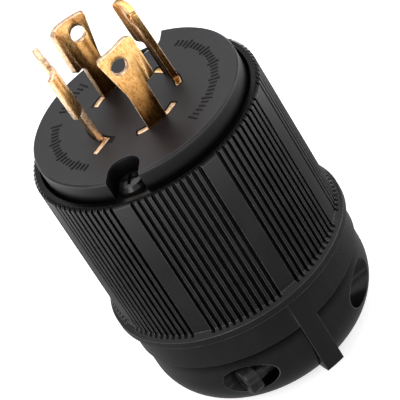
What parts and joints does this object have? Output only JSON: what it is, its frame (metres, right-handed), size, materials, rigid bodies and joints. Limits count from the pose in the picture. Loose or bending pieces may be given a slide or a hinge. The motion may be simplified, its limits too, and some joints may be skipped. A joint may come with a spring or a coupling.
{
  "type": "locking power plug",
  "caption": "Straight locking power plug with curved brass blades, a ribbed round grip shell and a domed two-half cord clamp with side fins.",
  "frame": {"origin": "middle of the flat rear end of the cord clamp, on the plug's long axis", "axes": "+Z along the plug's axis towards the blades, -Y towards the front blade and the front fin, +X to the right"},
  "size_m": [0.06, 0.06, 0.1015],
  "materials": {
    "shell_plastic": "black moulded nylon, fine satin",
    "face_plastic": "black moulded nylon, smooth",
    "block_plastic": "black moulded nylon, plain",
    "blade_brass": "brushed brass with darker patches and pale edges",
    "plate_brass": "plain stamped brass",
    "terminal_steel": "zinc plated steel",
    "black_steel": "blackened steel",
    "clamp_steel": "dull plated steel"
  },
  "bodies": {
    "root": {"front_cap": "face_plastic", "grip_shell": "shell_plastic", "terminal_block": "block_plastic", "cord_clamp_right": "shell_plastic", "cord_clamp_left": "shell_plastic", "hot_blade_front": "blade_brass", "hot_blade_back": "blade_brass", "neutral_blade": "blade_brass", "ground_blade": "blade_brass", "terminal_screw_front": "terminal_steel", "terminal_screw_right": "terminal_steel", "terminal_screw_back": "terminal_steel", "terminal_screw_left": "terminal_steel", "pressure_plate_front": "plate_brass", "pressure_plate_right": "plate_brass", "pressure_plate_back": "plate_brass", "pressure_plate_left": "plate_brass", "assembly_screw_front": "black_steel", "assembly_screw_back": "black_steel", "screw_insert_front": "plate_brass", "screw_insert_back": "plate_brass", "clamp_screw_front": "clamp_steel", "clamp_screw_back": "clamp_steel", "clamp_nut_front": "clamp_steel", "clamp_nut_back": "clamp_steel"}
  },
  "joints": []
}
